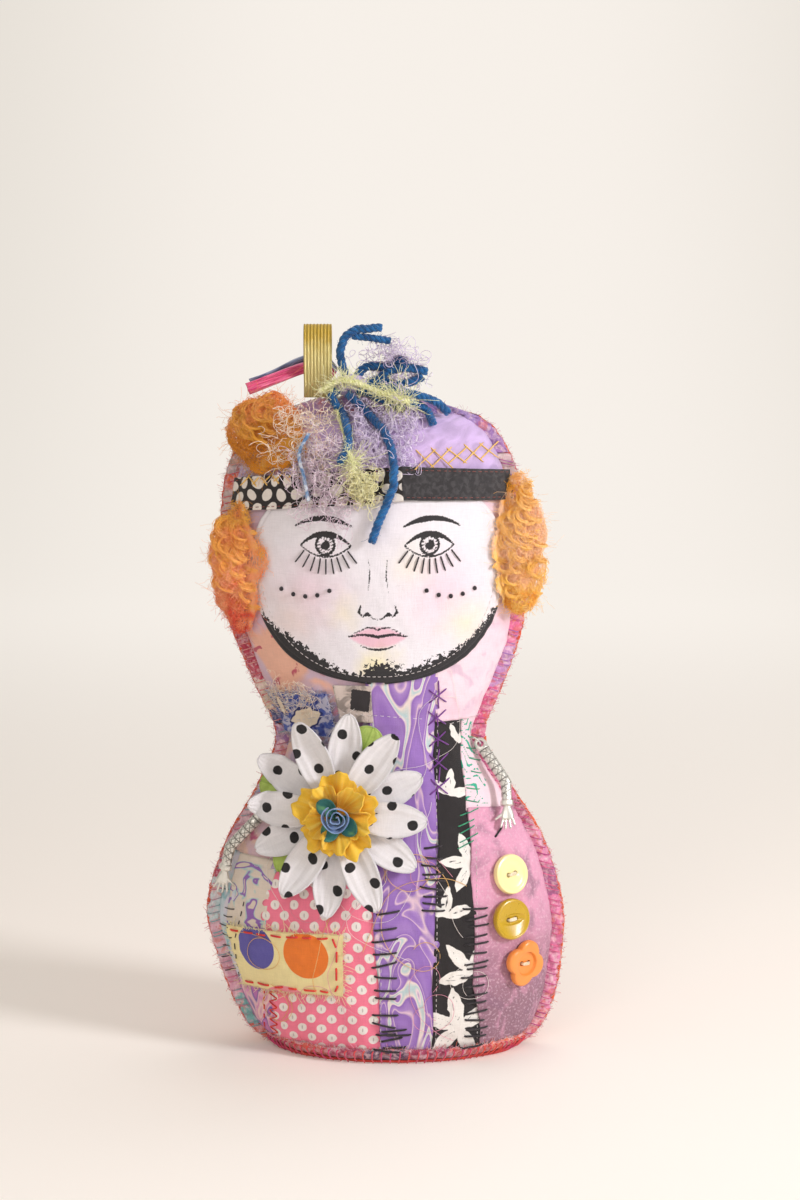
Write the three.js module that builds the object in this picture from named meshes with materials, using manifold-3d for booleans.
// A patchwork rag doll: a stuffed head and a pear-shaped body sewn from scraps of cloth,
// with a fabric flower, three buttons, two pewter arms that hang from threads, and a topknot.
// Millimetres, +Z up, the face looks along -Y, and the floor is z = 0.

import * as THREE from 'three';
import { mergeVertices } from 'three/addons/utils/BufferGeometryUtils.js';
import Module from 'manifold-3d';

const wasm = await Module();
wasm.setup();

// Sizes of the stuffed cloth
const cloth_height = 250;
const head_height = 190;
const neck_height = 121;
const hip_height = 54;
const head_half_width = 57.5;
const neck_half_width = 40.2;
const hip_half_width = 68.6;
const base_half_width = 48;
const crown_half_width = 24;
const head_half_depth = 27;
const neck_half_depth = 20;
const hip_half_depth = 33;
const base_half_depth = 24;
const base_lean = 4.5;
const neck_lean = -1.8;
const head_lean = -5;
const flange_width = 5;
const cloth_thickness = 0.9;
const cloth_gap = 0.5;
const applique_thickness = 0.7;
const applique_gap = 0.6;
const binding_thickness = 0.9;
const binding_reveal = 1.1;
const base_thickness = 1;
const base_flange = 2;
const seam_gap = 0.3;
const patch_gap = 0.5;
const binding_gap = 0.6;
const stuffing_slack = 0.4;
const lens_power_share = 1.2;

// How finely the cloth is drawn
const row_step = 8;
const column_angle = THREE.MathUtils.degToRad(12);

const cloth_stack = cloth_gap + cloth_thickness;
const applique_out = cloth_stack + applique_gap;
const applique_stack = applique_out + applique_thickness;
const band_out = applique_stack + applique_gap;
const band_stack = band_out + applique_thickness;
const seam_top = cloth_height - flange_width;
const fill_top = seam_top - cloth_stack;
const skirt_height = base_thickness + seam_gap;

const mix = THREE.MathUtils.lerp;

// Half-width of the cloth's raw edge by height
const outline_knots = [
  [0, base_half_width],
  [mix(0, hip_height, 0.1), mix(base_half_width, hip_half_width, 0.35)],
  [mix(0, hip_height, 0.27), mix(base_half_width, hip_half_width, 0.62)],
  [mix(0, hip_height, 0.62), mix(base_half_width, hip_half_width, 0.89)],
  [hip_height, hip_half_width],
  [mix(hip_height, neck_height, 0.38), mix(hip_half_width, neck_half_width, 0.24)],
  [mix(hip_height, neck_height, 0.72), mix(hip_half_width, neck_half_width, 0.7)],
  [neck_height, neck_half_width],
  [mix(neck_height, head_height, 0.31), mix(neck_half_width, head_half_width, 0.46)],
  [mix(neck_height, head_height, 0.65), mix(neck_half_width, head_half_width, 0.92)],
  [head_height, head_half_width],
  [mix(head_height, cloth_height, 0.5), mix(crown_half_width, head_half_width, 0.94)],
  [mix(head_height, cloth_height, 0.8), mix(crown_half_width, head_half_width, 0.69)],
  [mix(head_height, cloth_height, 0.94), mix(crown_half_width, head_half_width, 0.34)],
  [cloth_height, crown_half_width],
];

// Half-depth of the stuffing by height
const depth_knots = [
  [0, base_half_depth],
  [mix(0, hip_height, 0.1), mix(base_half_depth, hip_half_depth, 0.3)],
  [mix(0, hip_height, 0.3), mix(base_half_depth, hip_half_depth, 0.6)],
  [mix(0, hip_height, 0.62), mix(base_half_depth, hip_half_depth, 0.88)],
  [hip_height, hip_half_depth],
  [mix(hip_height, neck_height, 0.38), mix(hip_half_depth, neck_half_depth, 0.24)],
  [mix(hip_height, neck_height, 0.72), mix(hip_half_depth, neck_half_depth, 0.7)],
  [neck_height, neck_half_depth],
  [mix(neck_height, head_height, 0.31), mix(neck_half_depth, head_half_depth, 0.46)],
  [mix(neck_height, head_height, 0.65), mix(neck_half_depth, head_half_depth, 0.92)],
  [head_height, head_half_depth],
  [mix(head_height, fill_top, 0.55), head_half_depth * 0.95],
  [mix(head_height, fill_top, 0.82), head_half_depth * 0.78],
  [mix(head_height, fill_top, 0.94), head_half_depth * 0.5],
  [fill_top, head_half_depth * 0.12],
];

// The doll leans a little: its middle line by height
const lean_knots = [
  [0, base_lean],
  [mix(0, hip_height, 0.5), mix(base_lean, 0, 0.45)],
  [hip_height, 0],
  [mix(hip_height, neck_height, 0.6), 0],
  [neck_height, neck_lean],
  [mix(neck_height, head_height, 0.5), mix(neck_lean, head_lean, 0.3)],
  [head_height, mix(neck_lean, head_lean, 0.9)],
  [cloth_height, head_lean],
];

// Smooth curve through knots of height and value
function smooth(knots, height) {
  let i = 0;
  while (i < knots.length - 2 && height > knots[i + 1][0]) i++;
  const slope = (j) => {
    const before = knots[Math.max(j - 1, 0)];
    const after = knots[Math.min(j + 1, knots.length - 1)];
    return (after[1] - before[1]) / (after[0] - before[0]);
  };
  const [z0, a] = knots[i];
  const [z1, b] = knots[i + 1];
  const span = z1 - z0;
  const t = THREE.MathUtils.clamp((height - z0) / span, 0, 1);
  const start = (2 * t - 3) * t * t + 1;
  return start * a + (1 - start) * b
    + span * t * (1 - t) * ((1 - t) * slope(i) - t * slope(i + 1));
}

const edgeHalf = (height) => smooth(outline_knots, height);
const fillHalf = (height) => edgeHalf(height) - flange_width - cloth_stack;
const fillDepth = (height) => smooth(depth_knots, height);
const lean = (height) => smooth(lean_knots, height);

// How far a pillow's face bulges at a share of its half-width
function bulge(side) {
  return Math.pow(Math.max(0, 1 - side * side), lens_power_share / 2);
}

// A point of the doll's front, a distance out from the stuffing, at a height and a share of the width.
// On the crown, which turns over to the top seam, the distance is measured square to the cloth.
function onFront(height, side, out) {
  const depth = fillDepth(height);
  let rise = 0;
  let reach = out;
  if (height > head_height) {
    const step = cloth_gap;
    const slope = (fillDepth(height) - fillDepth(height - step)) / step;
    const length = Math.hypot(1, slope);
    rise = -out * slope / length;
    reach = out / length;
  }
  return new THREE.Vector3(
    lean(height) + (fillHalf(height) + out) * side,
    -seam_gap / 2 - (depth + reach) * bulge(side),
    height + rise * bulge(side),
  );
}

// The same point mirrored to the doll's back
function onBack(height, side, out) {
  const point = onFront(height, side, out);
  point.y = -point.y;
  return point;
}

// Depth of the front below the seam's plane at a place seen from the front
function frontDepth(x, height, out) {
  if (height > seam_top) return 0;
  const side = (x - lean(height)) / (fillHalf(height) + out);
  return seam_gap / 2 + (fillDepth(height) + out) * bulge(THREE.MathUtils.clamp(side, -1, 1));
}

// Shares of a climb from a lower height to the crown, closer together where the crown turns over
function climb(share) {
  const turn = 0.7;
  const level = 0.82;
  if (share < turn) return share / turn * level;
  return mix(level, 1, Math.sin((share - turn) / (1 - turn) * Math.PI / 2));
}

// Closed geometry from points and triangles, turned to face outward
function closed(points, triangles) {
  let volume = 0;
  for (const [a, b, c] of triangles) {
    volume += points[a].dot(new THREE.Vector3().crossVectors(points[b], points[c]));
  }
  const turned = volume < 0 ? triangles.map(([a, b, c]) => [a, c, b]) : triangles;
  const geometry = new THREE.BufferGeometry();
  geometry.setAttribute('position', new THREE.Float32BufferAttribute(points.flatMap((p) => p.toArray()), 3));
  geometry.setIndex(turned.flat());
  return geometry;
}

// A sheet with a thickness: point(s, t, face) gives its under face at face 0 and its upper at face 1
function sheet(point, columns_asked, rows_asked) {
  const column_count = Math.round(columns_asked);
  const row_count = Math.round(rows_asked);
  const points = [];
  for (const face of [0, 1]) {
    for (let r = 0; r <= row_count; r++) {
      for (let c = 0; c <= column_count; c++) points.push(point(c / column_count, r / row_count, face));
    }
  }
  const wide = column_count + 1;
  const upper = wide * (row_count + 1);
  const triangles = [];
  const quad = (a, b, c, d) => triangles.push([a, b, c], [a, c, d]);
  for (let r = 0; r < row_count; r++) {
    for (let c = 0; c < column_count; c++) {
      const a = r * wide + c;
      quad(a, a + wide, a + wide + 1, a + 1);
      quad(upper + a, upper + a + 1, upper + a + wide + 1, upper + a + wide);
    }
  }
  for (let c = 0; c < column_count; c++) {
    const top = row_count * wide + c;
    quad(c, c + 1, upper + c + 1, upper + c);
    quad(top + 1, top, upper + top, upper + top + 1);
  }
  for (let r = 0; r < row_count; r++) {
    const left = r * wide;
    const right = left + column_count;
    quad(left + wide, left, upper + left, upper + left + wide);
    quad(right, right + wide, upper + right + wide, upper + right);
  }
  return closed(points, triangles);
}

// A solid through rings of points, closed by a fan at each end
function loft(rings) {
  const around_count = rings[0].length;
  const points = rings.flat();
  const triangles = [];
  for (let r = 0; r + 1 < rings.length; r++) {
    for (let i = 0; i < around_count; i++) {
      const a = r * around_count + i;
      const b = r * around_count + (i + 1) % around_count;
      triangles.push([a, b, b + around_count], [a, b + around_count, a + around_count]);
    }
  }
  const last = (rings.length - 1) * around_count;
  for (const [first, forward] of [[0, false], [last, true]]) {
    const middle = points.length;
    const centre = new THREE.Vector3();
    for (let i = 0; i < around_count; i++) centre.addScaledVector(points[first + i], 1 / around_count);
    points.push(centre);
    for (let i = 0; i < around_count; i++) {
      const a = first + i;
      const b = first + (i + 1) % around_count;
      triangles.push(forward ? [a, b, middle] : [b, a, middle]);
    }
  }
  return closed(points, triangles);
}

// A round tube along a smooth route of points
function tube(route, radius, sides, steps) {
  const section = new THREE.Shape();
  for (let i = 0; i < sides; i++) {
    const angle = 2 * Math.PI * i / sides;
    section[i ? 'lineTo' : 'moveTo'](radius * Math.cos(angle), radius * Math.sin(angle));
  }
  section.closePath();
  const extrudePath = new THREE.CatmullRomCurve3(route, false, 'centripetal');
  return new THREE.ExtrudeGeometry(section, { extrudePath, steps, bevelEnabled: false });
}

// Conversions between a geometry and a solid that can be cut and joined
function solid(geometry) {
  const bare = new THREE.BufferGeometry();
  bare.setAttribute('position', geometry.getAttribute('position').clone());
  if (geometry.index) bare.setIndex(geometry.index.clone());
  const merged = mergeVertices(bare, 1e-4);
  const corners = merged.index.array;
  const triVerts = [];
  for (let i = 0; i < corners.length; i += 3) {
    const [a, b, c] = corners.slice(i, i + 3);
    if (a !== b && b !== c && c !== a) triVerts.push(a, b, c);
  }
  return new wasm.Manifold(new wasm.Mesh({
    numProp: 3,
    vertProperties: new Float32Array(merged.getAttribute('position').array),
    triVerts: new Uint32Array(triVerts),
  }));
}

function geometryOf(manifold) {
  const { vertProperties, triVerts } = manifold.getMesh();
  const geometry = new THREE.BufferGeometry();
  geometry.setAttribute('position', new THREE.BufferAttribute(new Float32Array(vertProperties), 3));
  geometry.setIndex(new THREE.BufferAttribute(new Uint32Array(triVerts), 1));
  return geometry;
}

function placed(geometry, x, y, z) {
  return geometry.translate(x, y, z);
}

const doll = new THREE.Group();

function piece(name, geometry, colour, roughness = 0.9, metalness = 0, parent = doll) {
  const material = new THREE.MeshStandardMaterial({ color: colour, roughness, metalness });
  const mesh = new THREE.Mesh(geometry, material);
  mesh.name = name;
  parent.add(mesh);
  return mesh;
}

// Stuffing: one wad swells through the hips, the other fills the head, and they meet at the neck
function wad(bottom, top) {
  const row_count = Math.ceil((top - bottom) / row_step) + 1;
  const around_count = 26;
  const rings = [];
  for (let r = 0; r <= row_count; r++) {
    const share = r / row_count;
    const height = mix(bottom, top, top > neck_height ? climb(share) : share);
    const ring = [];
    for (let i = 0; i < around_count; i++) {
      const angle = 2 * Math.PI * i / around_count;
      const place = Math.sin(angle) < 0 ? onFront : onBack;
      ring.push(place(height, Math.cos(angle), -stuffing_slack));
    }
    rings.push(ring);
  }
  return loft(rings);
}

piece('body_filling', wad(skirt_height + cloth_gap, neck_height - seam_gap), 0xf2efe8);
piece('head_filling', wad(neck_height, fill_top), 0xf2efe8);

// Base: an oval gusset that lets the doll stand, its raw edge sewn out round the foot
function basePanel() {
  const shape = new THREE.Shape();
  const half = base_half_width;
  const deep = base_half_depth + cloth_stack + base_flange;
  const around_count = 40;
  for (let i = 0; i < around_count; i++) {
    const angle = 2 * Math.PI * i / around_count;
    const side = Math.cos(angle);
    const y = Math.sign(Math.sin(angle)) * deep * bulge(side);
    shape[i ? 'lineTo' : 'moveTo'](lean(0) + half * side, y);
  }
  shape.closePath();
  return new THREE.ExtrudeGeometry(shape, { depth: base_thickness, bevelEnabled: false });
}

piece('base_panel', basePanel(), 0xd8503f);

// Back: two panels of plain cloth that meet at the neck, with a flat raw edge all round
function backPanel(bottom, top, overCrown) {
  const column_count = Math.round(Math.PI / column_angle) - 1;
  const skin_count = Math.ceil((top - bottom) / row_step) - 2;
  const row_count = overCrown ? skin_count + 1 : skin_count;
  const rim = seam_gap / 2;
  return sheet((s, t, face) => {
    const row = Math.round(t * row_count);
    const column = Math.round(s * column_count);
    const edge = column === 0 || column === column_count;
    const seam = column === 1 || column === column_count - 1;
    const sign = s < 0.5 ? -1 : 1;
    const y = rim + face * cloth_thickness;
    if (row > skin_count) {
      return new THREE.Vector3(lean(cloth_height) + edgeHalf(cloth_height) * (2 * s - 1), y, cloth_height);
    }
    const share = row / skin_count;
    const height = mix(bottom, top, overCrown ? climb(share) : share);
    if (edge) return new THREE.Vector3(lean(height) + sign * edgeHalf(height), y, height);
    const out = cloth_gap + face * cloth_thickness;
    if (seam) return new THREE.Vector3(lean(height) + sign * (fillHalf(height) + out), y, height);
    const angle = Math.PI * ((column - 1) / (column_count - 2) - 0.5);
    return onBack(height, Math.sin(angle), out);
  }, column_count, row_count);
}

piece('back_panel_body', backPanel(skirt_height, neck_height - seam_gap, false), 0xe0653f);
piece('back_panel_head', backPanel(neck_height, fill_top, true), 0xe0653f);

// Front patches: seam lines as heights and sides, in shares of the cloth's height and half-width
const line_shares = {
  left_seam: [[0, -1]],
  right_seam: [[0, 1]],
  side_strip: [[0, -0.93]],
  left_line: [
    [0, -0.9], [0.06, -0.81], [0.112, -0.748], [0.305, -0.7], [0.39, -0.8], [0.46, -0.9], [0.545, -0.9],
  ],
  strip_left: [[0, -0.104], [0.12, -0.057], [0.3, -0.049], [0.552, -0.093], [0.872, -0.014]],
  strip_right: [
    [0, 0.289], [0.12, 0.272], [0.3, 0.342], [0.4, 0.45],
    [0.49, 0.62], [0.522, 0.58], [0.58, 0.493], [0.874, 0.495],
  ],
  leaf_right: [[0, 0.66], [0.12, 0.518], [0.3, 0.556], [0.385, 0.663], [0.485, 0.9], [0.52, 0.85]],
};

const foot_share = skirt_height / cloth_height;
const crown_share = fill_top / cloth_height;

// Side of a line of shares at a height
function sideOf(line, share) {
  let i = 0;
  while (i < line.length - 1 && share > line[i + 1][0]) i++;
  if (i === line.length - 1) return line[i][1];
  const [h0, a] = line[i];
  const [h1, b] = line[i + 1];
  return mix(a, b, THREE.MathUtils.clamp((share - h0) / (h1 - h0), 0, 1));
}

// A patch between two lines, from a pair of heights at its bottom to a pair at its top
function patch(left, right, bottom_shares, top_shares, out, thickness) {
  const tallest = Math.max(top_shares[0] - bottom_shares[0], top_shares[1] - bottom_shares[1]);
  const overCrown = top_shares[0] === crown_share;
  const row_count = Math.max(1, Math.ceil(tallest * cloth_height / row_step)) + (overCrown ? 4 : 0);
  const middle = (bottom_shares[0] + top_shares[0]) / 2;
  const spread = Math.asin(sideOf(right, middle)) - Math.asin(sideOf(left, middle));
  const column_count = Math.max(1, Math.ceil(spread / column_angle));
  const inset = patch_gap / 2;
  return sheet((s, t, face) => {
    const up = overCrown ? Math.sin(t * Math.PI / 2) : t;
    const share = mix(
      mix(bottom_shares[0], top_shares[0], up),
      mix(bottom_shares[1], top_shares[1], up),
      s,
    );
    let height = share * cloth_height;
    if (t === 0) height += inset;
    if (t === 1 && !overCrown) height -= inset;
    const layer = out + face * thickness;
    const edges = [left, right].map((line, i) => {
      const side = sideOf(line, share);
      if (Math.abs(side) === 1) return side;
      return side + (i ? -1 : 1) * inset / (fillHalf(height) + layer);
    });
    const angle = mix(Math.asin(edges[0]), Math.asin(edges[1]), s);
    return onFront(height, Math.sin(angle), layer);
  }, column_count, row_count);
}

const { left_seam, right_seam, side_strip, left_line, strip_left, strip_right, leaf_right } = line_shares;
const patches = [
  ['lower_left_patch', 0xb06aa0, left_seam, left_line, [foot_share, foot_share], [0.112, 0.112]],
  ['teal_side_strip', 0xa9c9c8, left_seam, side_strip, [0.112, 0.112], [0.305, 0.305]],
  ['marbled_patch_left', 0xe6d6c8, side_strip, left_line, [0.112, 0.112], [0.305, 0.305]],
  ['shoulder_panel_left', 0xe3bccb, left_seam, left_line, [0.305, 0.305], [0.545, 0.545]],
  ['dot_panel', 0xf07aa5, left_line, strip_left, [foot_share, foot_share], [0.3, 0.3]],
  ['chest_panel', 0xb7a0be, left_line, strip_left, [0.3, 0.3], [0.545, 0.552]],
  ['head_panel_left', 0xe9c4b8, left_seam, strip_left, [0.545, 0.552], [0.868, 0.872]],
  ['marbled_strip', 0xa482c8, strip_left, strip_right, [foot_share, foot_share], [0.872, 0.874]],
  ['leaf_strip', 0x242326, strip_right, leaf_right, [foot_share, foot_share], [0.522, 0.52]],
  ['hip_panel_right', 0xb681ab, leaf_right, right_seam, [foot_share, foot_share], [0.385, 0.372]],
  ['shoulder_panel_right', 0xf0d3dc, leaf_right, right_seam, [0.385, 0.372], [0.52, 0.52]],
  ['head_panel_right', 0xf3cfdd, strip_right, right_seam, [0.522, 0.52], [0.874, 0.88]],
  ['cap_panel', 0xb9a2e0, left_seam, right_seam, [0.872, 0.88], [crown_share, crown_share]],
];
for (const [name, colour, left, right, bottom_shares, top_shares] of patches) {
  piece(name, patch(left, right, bottom_shares, top_shares, cloth_gap, cloth_thickness), colour);
}

// Face: an oval of white cloth applied over the head
const face_width_share = 0.826;
const face_chin_share = 0.3565;
const face_brow_share = 0.567;
const face_offset = 2.2;
const oval_power = 2.4;
const oval_trim_share = 0.955;

function facePanel() {
  const below = mix(neck_height, head_height, face_chin_share) - head_height;
  const above = mix(head_height, cloth_height, face_brow_share) - head_height;
  const middle = lean(head_height) + face_offset;
  return sheet((s, t, face) => {
    const turn = (2 * t - 1) * oval_trim_share;
    const up = Math.sin(turn * Math.PI / 2);
    const across = Math.pow(1 - Math.pow(Math.abs(up), oval_power), 1 / oval_power);
    const height = head_height + (up < 0 ? -up * below : up * above);
    const layer = applique_out + face * applique_thickness;
    const half = fillHalf(height) + layer;
    const reach = face_width_share * head_half_width * across;
    const ends = [-1, 1].map((sign) => (middle + sign * reach - lean(height)) / half);
    const angle = mix(Math.asin(ends[0]), Math.asin(ends[1]), s);
    return onFront(height, Math.sin(angle), layer);
  }, 13, 11);
}

piece('face_panel', facePanel(), 0xe9e2ea);

// Scraps and the pocket lie over the patches, and the brow bands over the face's upper edge
const pocket_edge = [[0.11, -0.3], [0.205, -0.244]];
const scraps = [
  ['blue_scrap', 0x5a6aa6, [[0, -0.96]], [[0, -0.45]], [0.497, 0.497], [0.553, 0.562], applique_out],
  ['grey_scrap', 0x6e6a70, [[0, -0.36]], [[0, -0.07]], [0.524, 0.522], [0.576, 0.576], applique_out],
  ['spotted_pocket', 0xe8dca8, [[0, -0.915]], pocket_edge, [0.108, 0.112], [0.198, 0.205], applique_out],
  ['brow_band_left', 0x2a2426, [[0, -0.95]], [[0, 0.21]], [0.833, 0.856], [0.88, 0.9], band_out],
  ['brow_band_right', 0x1d1b1e, [[0, 0.22]], [[0, 0.965]], [0.857, 0.851], [0.9, 0.892], band_out],
];
for (const [name, colour, left, right, bottom_shares, top_shares, out] of scraps) {
  piece(name, patch(left, right, bottom_shares, top_shares, out, applique_thickness), colour);
}

// Binding: raw strips whipped to the front of the flat edge, and one along the foot
function sideBinding(sign, bottom, top) {
  const row_count = Math.ceil((top - bottom) / row_step);
  return sheet((s, t, face) => {
    const height = mix(bottom, top, t);
    const inner = fillHalf(height) + cloth_stack + binding_gap;
    const outer = edgeHalf(height) - binding_reveal;
    const y = -seam_gap / 2 - face * binding_thickness;
    return new THREE.Vector3(lean(height) + sign * mix(inner, outer, s), y, height);
  }, 1, row_count);
}

const crown_start_share = 0.66;
const inner_corner_share = 0.7;
const outer_corner_share = 0.66;
const shoulder_share = 0.6;
const crown_start = mix(head_height, cloth_height, crown_start_share);
const head_start = neck_height + flange_width;

function crownBinding() {
  const inner_top = seam_top + seam_gap;
  const outer_top = cloth_height - binding_reveal;
  const pairs = [];
  const riser_count = 4;
  for (let i = 0; i <= riser_count; i++) {
    const height = mix(crown_start, fill_top, i / riser_count);
    const inner = fillHalf(height) + cloth_stack + binding_gap;
    pairs.push([inner, height, edgeHalf(height) - binding_reveal, height]);
  }
  const corner = fillHalf(fill_top) + cloth_stack + binding_gap;
  const shoulder = mix(fill_top, cloth_height, shoulder_share);
  pairs.push([corner, inner_top, edgeHalf(shoulder) - binding_reveal / 2, shoulder]);
  pairs.push([corner * inner_corner_share, inner_top, corner * outer_corner_share, outer_top]);
  const list = [...pairs.map((p) => [...p, -1]), ...pairs.reverse().map((p) => [...p, 1])];
  return sheet((s, t, face) => {
    const [xi, zi, xo, zo, sign] = list[Math.round(t * (list.length - 1))];
    const y = -seam_gap / 2 - face * binding_thickness;
    return new THREE.Vector3(lean(zi) + sign * mix(xi, xo, s), y, mix(zi, zo, s));
  }, 1, list.length - 1);
}

piece('binding_body_left', sideBinding(-1, skirt_height, head_start - seam_gap), 0xc85a72);
piece('binding_head_left', sideBinding(-1, head_start, crown_start - seam_gap), 0xc23a52);
piece('binding_crown', crownBinding(), 0x8a5cae);
piece('binding_head_right', sideBinding(1, head_start, crown_start - seam_gap), 0xc24f86);
piece('binding_body_right', sideBinding(1, skirt_height, head_start - seam_gap), 0xb04a86);

const foot_band_height = 4.2;
piece('binding_base', patch(
  [[0, -0.985]], [[0, 0.985]],
  [foot_share, foot_share],
  [foot_share + foot_band_height / cloth_height, foot_share + foot_band_height / cloth_height],
  applique_out, applique_thickness,
), 0xb8434a);

// Flower: leaves, two rings of petals, a ruffled crown, and a rolled ribbon rose, sewn on the chest
const flower_side = -17.9;
const flower_height = 96.8;
const petal_length = 38;
const petal_width = 14.5;
const petal_thickness = 0.6;
const petal_count = 6;
const leaf_length = 31;
const leaf_width = 17;
const yellow_radius = 16;
const rose_radius = 4.4;
const rose_height = 4.5;
const rose_wall = 0.55;
const rose_leaf_length = 8.5;
const rose_leaf_width = 6;
const flower_layer = 0.5;

// A point of the flower, spread from its middle and lifted off the cloth.
// Where the chest falls away behind it, the flower follows only half as far.
function onFlower(dx, dz, lift) {
  const x = flower_side + dx;
  const z = flower_height + dz;
  const middle = -frontDepth(flower_side, flower_height, cloth_stack);
  const cloth = -frontDepth(x, z, cloth_stack);
  const y = cloth < middle ? cloth : mix(middle, cloth, 0.5);
  return new THREE.Vector3(x, y - lift, z);
}

// One leaf or petal: narrow at its root, widest past its middle, round at its tip, and a little cupped
function blade(length, width, angle, lift, rise, cup, column_count = 2, row_count = 4) {
  return sheet((s, t, face) => {
    const along = mix(0.06, 1, Math.sin(t * Math.PI / 2));
    const swell = Math.pow(Math.sin(Math.PI * Math.pow(along, 0.8) * 0.94), 0.75);
    const half = width / 2 * Math.max(0.2, swell);
    const across = (2 * s - 1) * half;
    const crease = cup * Math.sin(Math.PI * along) * Math.pow(2 * s - 1, 2);
    const dx = Math.sin(angle) * along * length + Math.cos(angle) * across;
    const dz = Math.cos(angle) * along * length - Math.sin(angle) * across;
    return onFlower(dx, dz, lift + rise * along * along + crease + face * petal_thickness);
  }, column_count, row_count);
}

// Blades joined by a small round disc at the middle of the flower
function rosette(blades, radius, lift) {
  const rings = [0, 1].map((face) => Array.from({ length: hub_side_count }, (_, i) => {
    const angle = 2 * Math.PI * i / hub_side_count;
    return onFlower(radius * Math.cos(angle), radius * Math.sin(angle), lift + face * petal_thickness);
  }));
  let whole = solid(loft(rings));
  for (const one of blades) whole = whole.add(solid(one));
  return geometryOf(whole);
}

const ring_radius = 5;
const hub_side_count = 12;
const leaf_lift = flower_layer;
const lower_lift = leaf_lift + petal_thickness + 2 * applique_gap;
const upper_lift = lower_lift + petal_thickness + 2.5 * applique_gap;
const tip_rise = 2.2;
const petal_cup = 0.8;

const leaf_angles = [0.42, -1.32, -2.5];
piece('flower_leaves', rosette(
  leaf_angles.map((angle) => blade(leaf_length, leaf_width, angle, leaf_lift, 0, 0)),
  ring_radius, leaf_lift,
), 0xb4cf6a);

function petalRing(turn, lift, rise) {
  const blades = [];
  for (let i = 0; i < petal_count; i++) {
    const angle = turn + 2 * Math.PI * i / petal_count;
    blades.push(blade(petal_length, petal_width, angle, lift, rise, petal_cup));
  }
  return rosette(blades, ring_radius, lift);
}

piece('petals_lower', petalRing(0.08, lower_lift, tip_rise), 0xf6f4f2);
piece('petals_upper', petalRing(0.08 + Math.PI / petal_count, upper_lift, tip_rise * 1.6), 0xf9f8f6);

// The ruffled crown of the flower: one wavy dish with five lobes
const yellow_lobe_count = 5;
const yellow_lift = upper_lift + petal_thickness + 1.6 * applique_gap;
const yellow_rise = 3;
const yellow_ruffle = 1.6;

function ruffledDish() {
  const heart = 0.3;
  const around_count = 30;
  const ring = (share, face) => Array.from({ length: around_count }, (_, i) => {
    const angle = 2 * Math.PI * i / around_count;
    const lobe = Math.sqrt(Math.abs(Math.cos(angle * yellow_lobe_count / 2)));
    const radius = yellow_radius * share * mix(1, mix(0.68, 1, lobe), share);
    const wave = yellow_ruffle * (share - heart) * (1 + Math.sin(angle * yellow_lobe_count * 2)) / 2;
    const lift = yellow_lift + yellow_rise * Math.max(0, share - heart) + wave + face * petal_thickness;
    return onFlower(radius * Math.sin(angle), radius * Math.cos(angle), lift);
  });
  return loft([ring(heart, 0), ring(0.65, 0), ring(1, 0), ring(1, 1), ring(0.65, 1), ring(heart, 1)]);
}

piece('yellow_petals', ruffledDish(), 0xf6bd3c);

const rose_leaf_lift = yellow_lift + petal_thickness + 2 * applique_gap;
const rose_leaf_rise = 2.8;
const rose_leaf_angles = [-0.9, 2.2, 3.6];
const roseLeaf = (angle) => (
  blade(rose_leaf_length, rose_leaf_width, angle, rose_leaf_lift, rose_leaf_rise, 0, 2, 3)
);
piece('rose_leaves', rosette(
  rose_leaf_angles.map(roseLeaf), rose_leaf_width / 2, rose_leaf_lift,
), 0x2f8f86);

// Rose: satin ribbon rolled in a spiral, its middle standing proud
const rose_turn_count = 2.4;
const rose_pitch = 1.4;

function rolledRose() {
  const steps = Math.round(rose_turn_count * 12);
  const inner = rose_radius - rose_wall - rose_turn_count * rose_pitch;
  const leaf = rose_leaf_rise * Math.pow(rose_radius / rose_leaf_length, 2);
  const lift = rose_leaf_lift + petal_thickness + leaf + 2 * seam_gap;
  const foot = onFlower(0, -rose_radius, lift).y;
  return sheet((s, t, face) => {
    const angle = 2 * Math.PI * rose_turn_count * t;
    const radius = inner + rose_pitch * rose_turn_count * t + face * rose_wall;
    const height = rose_height * mix(1, 0.72, t);
    return new THREE.Vector3(
      flower_side + radius * Math.sin(angle), foot - s * height, flower_height + radius * Math.cos(angle),
    );
  }, 1, steps);
}

piece('ribbon_rose', rolledRose(), 0x7f9fd0, 0.4);

// Buttons: each lies on the curve of the hip and is held by a stitch through its two holes
const button_gap = 0.35;
const hole_radius = 0.95;
const hole_spacing = 3.4;
const thread_radius = 0.42;
const cut_overrun = 2;

// Position and turn of a flat thing that rests on the front cloth
function seatOn(height, side, gap) {
  const step = column_angle / 10;
  const on = (rise, aside) => onFront(height + rise, side + aside, cloth_stack);
  const across = on(0, step).sub(on(0, -step));
  const up = on(cloth_gap, 0).sub(on(-cloth_gap, 0));
  const normal = new THREE.Vector3().crossVectors(across, up).normalize();
  const right = new THREE.Vector3().crossVectors(up, normal).normalize();
  const top = new THREE.Vector3().crossVectors(normal, right);
  const matrix = new THREE.Matrix4().makeBasis(right, top, normal);
  const seat = new THREE.Group();
  seat.quaternion.setFromRotationMatrix(matrix);
  seat.position.copy(on(0, 0)).addScaledVector(normal, gap);
  doll.add(seat);
  return seat;
}

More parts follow.
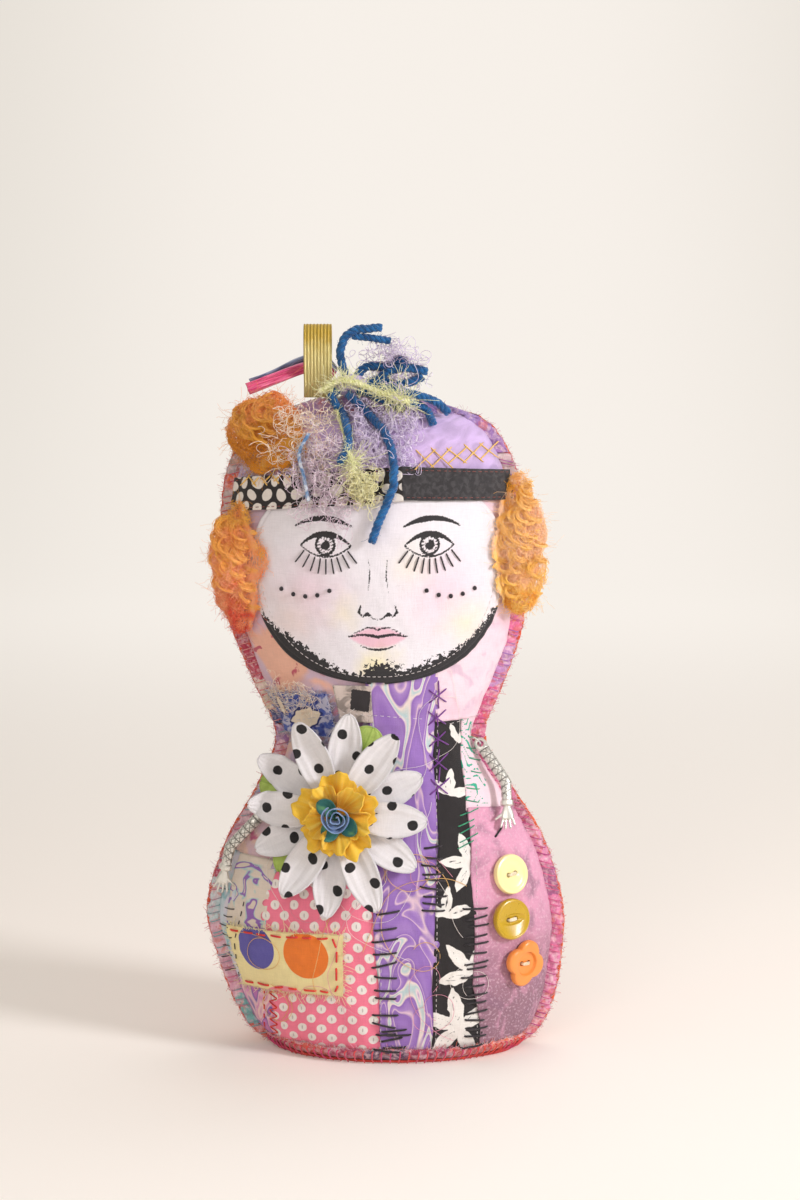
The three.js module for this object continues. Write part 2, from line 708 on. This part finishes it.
// A button with an edge of some number of lobes, a raised rim and a round or long dish
function buttonBlank({ radius, thickness, lobe_count, lobe_share, dish_long, dish_wide, dish_depth }) {
  const around_count = 28;
  const ring = (share, height) => Array.from({ length: around_count }, (_, i) => {
    const angle = 2 * Math.PI * i / around_count;
    const r = radius * share * (1 + lobe_share * (Math.cos(lobe_count * angle) - 1) / 2);
    return new THREE.Vector3(r * Math.cos(angle), r * Math.sin(angle), height);
  });
  const dish = (share, height) => Array.from({ length: around_count }, (_, i) => {
    const angle = 2 * Math.PI * i / around_count;
    const x = dish_long * share * Math.cos(angle);
    return new THREE.Vector3(x, dish_wide * share * Math.sin(angle), height);
  });
  let blank = solid(loft([
    ring(0.9, 0), ring(1, thickness * 0.3), ring(1, thickness * 0.7), ring(0.92, thickness),
    dish(1, thickness), dish(0.8, thickness - dish_depth),
  ]));
  for (const sign of [-1, 1]) {
    const drill = new THREE.CylinderGeometry(hole_radius, hole_radius, thickness + 2 * cut_overrun, 10);
    drill.rotateX(Math.PI / 2);
    blank = blank.subtract(solid(placed(drill, sign * hole_spacing / 2, 0, thickness / 2)));
  }
  return geometryOf(blank);
}

function buttonThread({ thickness, dish_depth }) {
  const half = hole_spacing / 2;
  const floor = thickness - dish_depth;
  const rim = floor + thread_radius / 2;
  const over = floor + thread_radius * 2.6;
  const foot = seam_gap - button_gap;
  const rise = [[1, foot], [1, floor / 2], [1, rim], [0.45, over]];
  const route = [
    ...rise.map(([share, z]) => new THREE.Vector3(-half * share, 0, z)),
    ...rise.reverse().map(([share, z]) => new THREE.Vector3(half * share, 0, z)),
  ];
  return tube(route, thread_radius, 5, 12);
}

// From the lowest up, each a little clear of the one before
const lowest_share = 0.685;
const button_spacing = 1;
const buttons = [
  {
    name: 'lobed', colour: 0xe8892b, side: 0.812,
    radius: 9, thickness: 3.2, lobe_count: 4, lobe_share: 0.16,
    dish_long: 4.6, dish_wide: 4.6, dish_depth: 1.1,
  },
  {
    name: 'fisheye', colour: 0xd8b62a, side: 0.734,
    radius: 7.8, thickness: 3.4, lobe_count: 2, lobe_share: 0, dish_long: 5, dish_wide: 2.3, dish_depth: 1.2,
  },
  {
    name: 'cream', colour: 0xf0d68a, side: 0.777,
    radius: 7.6, thickness: 3, lobe_count: 2, lobe_share: 0, dish_long: 5.4, dish_wide: 5.4, dish_depth: 0.7,
  },
];
let button_height = lowest_share * hip_height;
let below_radius = 0;
for (const button of buttons) {
  if (below_radius) button_height += below_radius + button_spacing + button.radius;
  below_radius = button.radius;
  const seat = seatOn(button_height, button.side, button_gap);
  piece(`button_${button.name}`, buttonBlank(button), button.colour, 0.35, 0, seat);
  piece(`button_thread_${button.name}`, buttonThread(button), 0xe8dcc0, 0.8, 0, seat);
}

// Arms: cast charms with a sleeve, a cuff and an open hand, that swing on a thread through an eye
const arm_length = 35.5;
const arm_half_width = 2.2;
const arm_half_depth = 1.8;
const elbow_length = 17.5;
const elbow_bend = THREE.MathUtils.degToRad(31);
const eye_radius = 1.25;
const finger_radius = 0.62;
const finger_length = 4;
const arm_thread_radius = 0.36;
const thread_rise = THREE.MathUtils.degToRad(41);
const rim_wide_share = 1.18;
const rim_deep_share = 0.62;

// Stations down the arm: place in the length, half-width and half-depth
const arm_shares = [
  [-0.068, 0.5, 0.35], [-0.045, 0.95, 0.55], [0, rim_wide_share, rim_deep_share],
  [0.05, 1.04, 0.75], [0.12, 1, 1], [0.28, 1, 1], [0.42, 0.98, 1], [0.5, 1.02, 1],
  [0.58, 0.94, 0.94], [0.69, 0.88, 0.88], [0.7, 1.14, 1.1], [0.75, 1.14, 1.1],
  [0.76, 0.6, 0.56], [0.81, 0.95, 0.58], [0.87, 1.22, 0.58], [0.9, 1.08, 0.5],
];

// Four fingers and the thumb: place along the arm, offset in half-widths, spread in radians and length
const digit_shares = [
  [0.9, -0.82, 0.28, 0.85], [0.9, -0.27, 0.09, 1], [0.9, 0.3, -0.1, 0.95], [0.89, 0.84, -0.3, 0.75],
  [0.84, -0.8, 0.95, 0.95],
];

// Middle line of the arm, straight down to the elbow, where it bends gradually
function armLine(share) {
  const along = share * arm_length;
  const soft = arm_half_width * 2;
  const bend = THREE.MathUtils.smoothstep(along, elbow_length - soft, elbow_length + soft) * elbow_bend;
  const past = Math.max(0, along - elbow_length);
  const before = Math.min(along, elbow_length);
  const point = new THREE.Vector3(-past * Math.sin(elbow_bend), 0, -before - past * Math.cos(elbow_bend));
  return { point, bend };
}

function armStation(share, half_width, half_depth) {
  const { point, bend } = armLine(share);
  const around_count = 8;
  return Array.from({ length: around_count }, (_, i) => {
    const angle = 2 * Math.PI * i / around_count;
    const across = half_width * Math.cos(angle);
    return new THREE.Vector3(
      point.x + across * Math.cos(bend), half_depth * Math.sin(angle), point.z - across * Math.sin(bend),
    );
  });
}

function finger(share, offset, spread, length) {
  const { point, bend } = armLine(share);
  const heading = bend + spread;
  const root = new THREE.Vector3(point.x + offset * Math.cos(bend), 0, point.z - offset * Math.sin(bend));
  const down = new THREE.Vector3(-Math.sin(heading), 0, -Math.cos(heading));
  const side = new THREE.Vector3(Math.cos(heading), 0, -Math.sin(heading));
  const stations = [[-0.25, 0.9], [0.3, 1], [0.85, 0.9], [1, 0.45]];
  return loft(stations.map(([along, swell]) => Array.from({ length: 5 }, (_, i) => {
    const angle = 2 * Math.PI * (i + 0.5) / 5;
    const ring = root.clone().addScaledVector(down, along * length);
    ring.addScaledVector(side, finger_radius * swell * Math.cos(angle));
    ring.y += finger_radius * swell * Math.sin(angle);
    return ring;
  })));
}

function armCharm() {
  const rings = arm_shares.map(([along, wide, deep]) => (
    armStation(along, arm_half_width * wide, arm_half_depth * deep)
  ));
  let charm = solid(loft(rings));
  for (const [along, offset, spread, long] of digit_shares) {
    charm = charm.add(solid(finger(along, offset * arm_half_width, spread, long * finger_length)));
  }
  const eye = new THREE.CylinderGeometry(eye_radius, eye_radius, 2 * arm_half_depth + 2 * cut_overrun, 12);
  return geometryOf(charm.subtract(solid(eye)));
}

// Each arm hangs in a plane that leans with the cloth it lies on, clear of it all along.
// The eye's place is in shares of the cloth's half-width there and of its height.
const arm_gap = 0.35;
const arm_swing = THREE.MathUtils.degToRad(110);
const arms = [
  { name: 'right', sign: 1, side: 0.94, height_share: 0.475, hang: 33, tilt: 22.5 },
  { name: 'left', sign: -1, side: -0.862, height_share: 0.372, hang: 44, tilt: -1.5 },
];

// Forward face of the cloth or of the binding, whichever the place lies on
const clothFace = (x, z) => Math.max(frontDepth(x, z, cloth_stack), seam_gap / 2 + binding_thickness);

// A loop of thread from the cloth, forward through the eye, over its rim and back into the cloth
function armThread(eye, tilt, sign) {
  const forward = new THREE.Vector3(0, -Math.cos(tilt), Math.sin(tilt));
  const clear = arm_half_width * rim_wide_share + arm_thread_radius + 2 * seam_gap;
  const reach = arm_half_depth * rim_deep_share + arm_thread_radius + seam_gap;
  const inward = Math.cos(thread_rise);
  const up = Math.sin(thread_rise);
  const aside = new THREE.Vector3(-sign * inward, up * Math.sin(tilt), up * Math.cos(tilt));
  const at = (across, front) => (
    eye.clone().addScaledVector(aside, across * clear).addScaledVector(forward, front * reach)
  );
  const onCloth = (across) => {
    const start = at(across, 0);
    let end = start;
    for (let pass = 0; pass < 3; pass++) {
      const inner = end.x - sign * 2 * arm_thread_radius;
      const face = Math.max(clothFace(end.x, end.z), clothFace(inner, end.z));
      const rest = -face - arm_thread_radius - seam_gap;
      end = start.clone().addScaledVector(forward, (start.y - rest) / Math.cos(tilt));
    }
    return end;
  };
  const route = [
    onCloth(0), at(0, 0), at(0, 0.6), at(0.3, 1.05), at(0.8, 1), at(1, 0.5), at(1, -0.5), onCloth(1),
  ];
  return tube(route, arm_thread_radius, 5, 14);
}
// Depth of the eye at which an arm clears the cloth, as it hangs and all through its swing
function eyeDepth(x, z, sign, hang, tilt) {
  let depth = 0;
  for (let turn = 0; turn <= arm_swing; turn += arm_swing / 8) {
    for (const [share, wide, deep] of arm_shares) {
      const { point, bend } = armLine(share);
      for (const edge of [-1, 0, 1]) {
        const aside = edge * wide * arm_half_width;
        const spot = new THREE.Vector2(point.x + aside * Math.cos(bend), point.z - aside * Math.sin(bend));
        spot.rotateAround(new THREE.Vector2(), hang + turn);
        const height = z + spot.y * Math.cos(tilt);
        const side = x + sign * spot.x;
        if (Math.abs(side - lean(height)) > edgeHalf(height) + arm_gap) continue;
        const face = clothFace(side, height);
        const back = (deep * arm_half_depth + arm_gap) / Math.cos(tilt);
        depth = Math.max(depth, face + back + spot.y * Math.sin(tilt));
      }
    }
  }
  return depth;
}

for (const { name, sign, side, height_share, hang, tilt } of arms) {
  const z = height_share * cloth_height;
  const x = lean(z) + side * edgeHalf(z);
  const lean_back = THREE.MathUtils.degToRad(tilt);
  const lean_out = THREE.MathUtils.degToRad(hang);
  const shoulder = new THREE.Group();
  shoulder.position.set(x, -eyeDepth(x, z, sign, lean_out, lean_back), z);
  shoulder.rotation.x = -lean_back;
  doll.add(shoulder);
  const charm = armCharm();
  charm.rotateY(-lean_out);
  if (sign < 0) {
    charm.scale(-1, 1, 1);
    charm.setIndex(Array.from(charm.index.array).reverse());
  }
  piece(`arm_${name}`, charm, 0xb9b6ae, 0.35, 0.9, shoulder);
  piece(`arm_thread_${name}`, armThread(shoulder.position, lean_back, sign), 0xd8d4c8, 0.8);
}

// Topknot: the hair is bound in a bundle on the crown, and yarn and ribbon spring from it
const knot_side_share = -0.1304;
const knot_side = head_lean + knot_side_share * head_half_width;
const knot_forward = 3.5;
const knot_half_width = 7;
const knot_half_depth = 5;
const knot_half_height = 4.5;
const yarn_radius = 1.4;
const eyelash_radius = 0.8;
const ribbon_thickness = 0.5;
const loop_width = 10.2;
const loop_height = 27.5;
const loop_half_depth = 4;
const loop_side_share = -0.3513;
const loop_side = head_lean + loop_side_share * head_half_width;
const thin_ribbon_width = 2.7;
const loop_step_count = 28;
const ribbon_step_count = 14;

function knot(grow) {
  const ball = new THREE.SphereGeometry(1, 12, 8);
  ball.scale(knot_half_width + grow, knot_half_depth + grow, knot_half_height + grow);
  return placed(ball, knot_side, -knot_forward, cloth_height + seam_gap + knot_half_height);
}

piece('hair_knot', knot(0), 0x9a8fc0);
const knot_keepout = solid(knot(seam_gap));

// Gold loop: a ribbon folded over, both ends caught in the top seam
const loop_shares = [
  [-0.14, 0], [-0.2, 0.2], [-0.72, 0.48], [-1, 0.72], [-0.72, 0.93], [0, 1],
  [0.72, 0.93], [1, 0.72], [0.72, 0.48], [0.2, 0.2], [0.14, 0],
];

function goldLoop() {
  const points = loop_shares.map(([y, z]) => (
    new THREE.Vector3(0, y * loop_half_depth, z * (loop_height - ribbon_thickness))
  ));
  const line = new THREE.CatmullRomCurve3(points, false, 'centripetal');
  return sheet((s, t, face) => {
    const point = line.getPoint(t);
    const along = line.getTangent(t);
    const outward = new THREE.Vector3(0, -along.z, along.y);
    point.addScaledVector(outward, face * ribbon_thickness);
    point.x = loop_side + (s - 0.5) * loop_width;
    point.z += cloth_height + seam_gap;
    return point;
  }, 1, loop_step_count);
}

piece('gold_ribbon_loop', goldLoop(), 0xc9a94e, 0.35, 0.6);

// Two narrow ribbons run out behind the loop to the left. Each route starts at the knot, in shares of
// the head's half-width, of the knot's half-depth and of the loop's height.
const ribbon_routes = {
  magenta_ribbon: {
    colour: 0xb8336a,
    route: [
      [-0.12, 0.68, 0.29], [-0.21, 1.28, 0.436], [-0.322, 0.8, 0.4], [-0.5, 0, 0.269], [-0.678, -0.8, 0.131],
    ],
  },
  slate_ribbon: {
    colour: 0x4c5572,
    route: [
      [-0.104, 1.04, 0.345], [-0.21, 1.68, 0.538], [-0.34, 1.32, 0.473], [-0.513, 0.76, 0.298],
      [-0.66, 0.32, 0.182],
    ],
  },
};

function thinRibbon(route) {
  const points = route.map(([side, deep, up]) => new THREE.Vector3(
    knot_side + side * head_half_width, deep * knot_half_depth, cloth_height + up * loop_height,
  ));
  const line = new THREE.CatmullRomCurve3(points, false, 'centripetal');
  return sheet((s, t, face) => {
    const point = line.getPoint(t);
    const along = line.getTangent(t);
    const across = new THREE.Vector3(-along.z, 0, along.x).normalize();
    point.addScaledVector(across, (s - 0.5) * thin_ribbon_width);
    point.y -= face * ribbon_thickness;
    return point;
  }, 1, ribbon_step_count);
}

for (const [name, { colour, route }] of Object.entries(ribbon_routes)) {
  piece(name, thinRibbon(route), colour, 0.5);
}

// Yarns: each route runs over the crown: a share of the head's half-width, the
// height above the crown in half-heights of the knot, and the distance from the cloth in radii
const yarn_routes = {
  blue_yarn_upright: [
    [-0.17, 2.00, 2.4], [-0.2, 3.33, 2], [-0.19, 4.67, 1.8], [-0.11, 5.67, 2], [0.06, 5.89, 2.4],
  ],
  blue_yarn_back: [
    [-0.09, 1.94, 1.4], [-0.03, 2.67, 0.8], [0.11, 2.56, 0.8], [0.19, 3.11, 1.2], [0.22, 2.78, 1.6],
  ],
  blue_yarn_side: [
    [-0.05, 1.22, 2.6], [0.04, 1.50, 3], [0.16, 1.17, 3.4], [0.27, 1.44, 3.6], [0.33, 1.89, 3.8],
  ],
  blue_yarn_curl: [
    [-0.09, 0.78, 4.6], [-0.02, 0.56, 6.2], [0.07, 0.00, 7.4], [0.16, -0.39, 8],
    [0.26, -0.28, 7.4], [0.35, -0.83, 5.6], [0.4, -1.89, 2.4],
  ],
  blue_yarn_temple: [
    [-0.22, 0.67, 4.6], [-0.26, 0.22, 6.6], [-0.2, -0.83, 7.5],
    [-0.15, -2.22, 3], [-0.15, -3.67, 1.8], [-0.2, -4.83, 3],
  ],
  blue_yarn_fringe: [
    [-0.15, 0.44, 5.8], [-0.11, 0.00, 8.4], [-0.01, -1.22, 5], [0.08, -2.44, 2], [0.13, -3.89, 1.8],
    [0.15, -5.56, 2.7], [0.13, -7.33, 2.4], [0.06, -9.33, 1.8], [0.01, -11.28, 1.8],
  ],
};

function strand(route, radius, sides) {
  const points = route.map(([side, height, lift]) => {
    const x = head_lean + side * head_half_width;
    const z = cloth_height + height * knot_half_height;
    return new THREE.Vector3(x, -frontDepth(x, z, band_stack) - lift * radius, z);
  });
  const length = new THREE.CatmullRomCurve3(points, false, 'centripetal').getLength();
  const steps = Math.ceil(length / (radius * 3));
  return solid(tube(points, radius, sides, steps));
}

for (const [name, route] of Object.entries(yarn_routes)) {
  piece(name, geometryOf(strand(route, yarn_radius, 6).subtract(knot_keepout)), 0x1f5f9e);
}

const eyelash_route = [
  [-0.34, 0.67, 10.5], [-0.2, 1.56, 11.8], [-0.12, 1.44, 12.4], [0.08, 0.56, 17.5], [0.24, -0.11, 19.5],
];
piece('eyelash_yarn', geometryOf(strand(eyelash_route, eyelash_radius, 5)), 0xdfe3a0);

// Wool locks: soft lumps of curls, drawn round the cloth they are sewn to
const wool_clearance = 0.5;
const curl_share = 0.09;

function headKeepout() {
  const rings = [];
  const row_count = 16;
  const around_count = 28;
  for (let r = 0; r <= row_count; r++) {
    const height = mix(neck_height, fill_top, climb(r / row_count));
    rings.push(Array.from({ length: around_count }, (_, i) => {
      const angle = 2 * Math.PI * i / around_count;
      const place = Math.sin(angle) < 0 ? onFront : onBack;
      return place(height, Math.cos(angle), band_stack + wool_clearance);
    }));
  }
  return solid(loft(rings));
}

function flangeKeepout() {
  const shape = new THREE.Shape();
  const row_count = 20;
  const corners = [];
  for (const sign of [1, -1]) {
    for (let r = 0; r <= row_count; r++) {
      const share = sign > 0 ? r / row_count : 1 - r / row_count;
      const height = mix(neck_height, cloth_height, climb(share));
      const lift = height === cloth_height ? wool_clearance : 0;
      corners.push([lean(height) + sign * (edgeHalf(height) + wool_clearance), height + lift]);
    }
  }
  corners.forEach(([x, z], i) => shape[i ? 'lineTo' : 'moveTo'](x, z));
  shape.closePath();
  const half = seam_gap / 2 + cloth_thickness + wool_clearance;
  const slab = new THREE.ExtrudeGeometry(shape, { depth: 2 * half, bevelEnabled: false });
  slab.rotateX(Math.PI / 2);
  return solid(placed(slab, 0, half, 0));
}

const head_keepout = headKeepout().add(flangeKeepout());

function woolLock({ side, height, forward, half_width, half_height, half_depth, curl_count }) {
  const ball = new THREE.SphereGeometry(1, 14, 10);
  const place = ball.getAttribute('position');
  for (let i = 0; i < place.count; i++) {
    const v = new THREE.Vector3().fromBufferAttribute(place, i);
    const angle = Math.atan2(v.x, v.z);
    const swell = 1 + curl_share * Math.sin(angle * curl_count) * (1 - v.y * v.y);
    v.multiplyScalar(swell);
    place.setXYZ(i, v.x * half_width, v.y * half_depth, v.z * half_height);
  }
  placed(ball, head_lean + side * head_half_width, -forward, height * cloth_height);
  return geometryOf(solid(ball).subtract(head_keepout));
}

// The middle's place is in shares of the head's half-width and the cloth's height
const locks = {
  wool_lock_left: {
    side: -0.887, height: 0.748, forward: 8, half_width: 9, half_height: 23, half_depth: 8.5, curl_count: 7,
  },
  wool_lock_right: {
    side: 0.974, height: 0.776, forward: 7, half_width: 9.5, half_height: 26, half_depth: 9, curl_count: 8,
  },
  wool_lock_top: {
    side: -0.67, height: 0.952, forward: 5, half_width: 14, half_height: 14.5, half_depth: 11, curl_count: 6,
  },
};
for (const [name, lock] of Object.entries(locks)) {
  piece(name, woolLock(lock), 0xe8913a);
}

export default doll;
